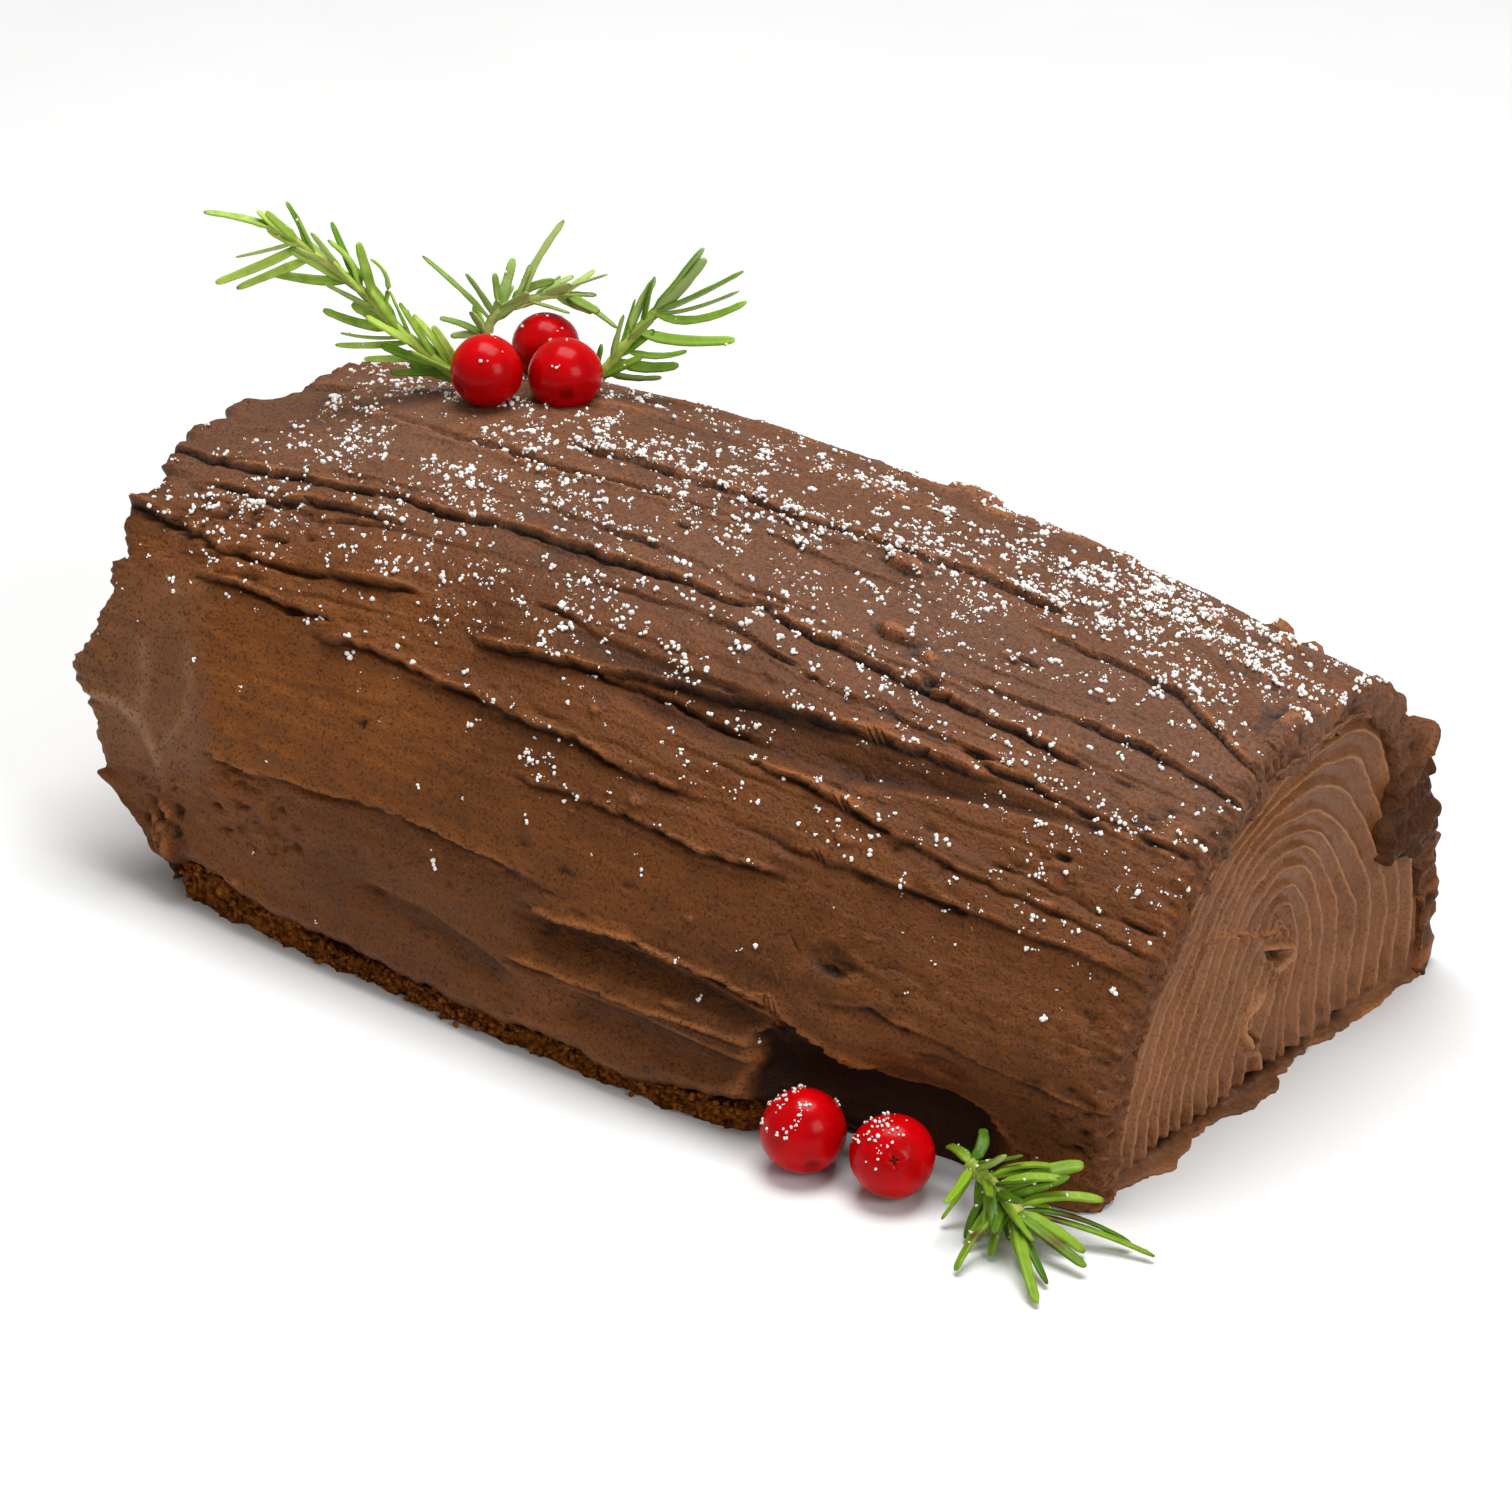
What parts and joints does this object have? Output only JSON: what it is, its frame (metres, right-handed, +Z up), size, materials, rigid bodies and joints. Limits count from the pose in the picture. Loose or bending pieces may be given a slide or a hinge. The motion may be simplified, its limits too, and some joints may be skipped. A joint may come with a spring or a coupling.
{
  "type": "yule log cake",
  "caption": "Chocolate log cake with frosting drawn out like bark, combed frosting on its ends, dusted sugar, cranberries and rosemary",
  "frame": {"origin": "middle of the flat underside, on the surface that the cake stands on", "axes": "+X along the log towards its smaller end, +Y to the back, +Z up"},
  "size_m": [0.2275, 0.1441, 0.1201],
  "materials": {
    "sponge": "matte, crumbly chocolate sponge",
    "bark_frosting": "satin dark chocolate frosting",
    "combed_frosting": "satin milk chocolate frosting",
    "cranberry": "glossy red skin",
    "rosemary": "satin green leaf",
    "sugar": "matte powdered sugar"
  },
  "bodies": {
    "root": {"sponge_log": "sponge", "bark_frosting": "bark_frosting", "near_end_frosting": "combed_frosting", "far_end_frosting": "combed_frosting", "top_berry_left": "cranberry", "top_berry_right": "cranberry", "top_berry_back": "cranberry", "foot_berry_left": "cranberry", "foot_berry_right": "cranberry", "rosemary_left": "rosemary", "rosemary_middle": "rosemary", "rosemary_right": "rosemary", "rosemary_foot": "rosemary"}
  },
  "joints": []
}
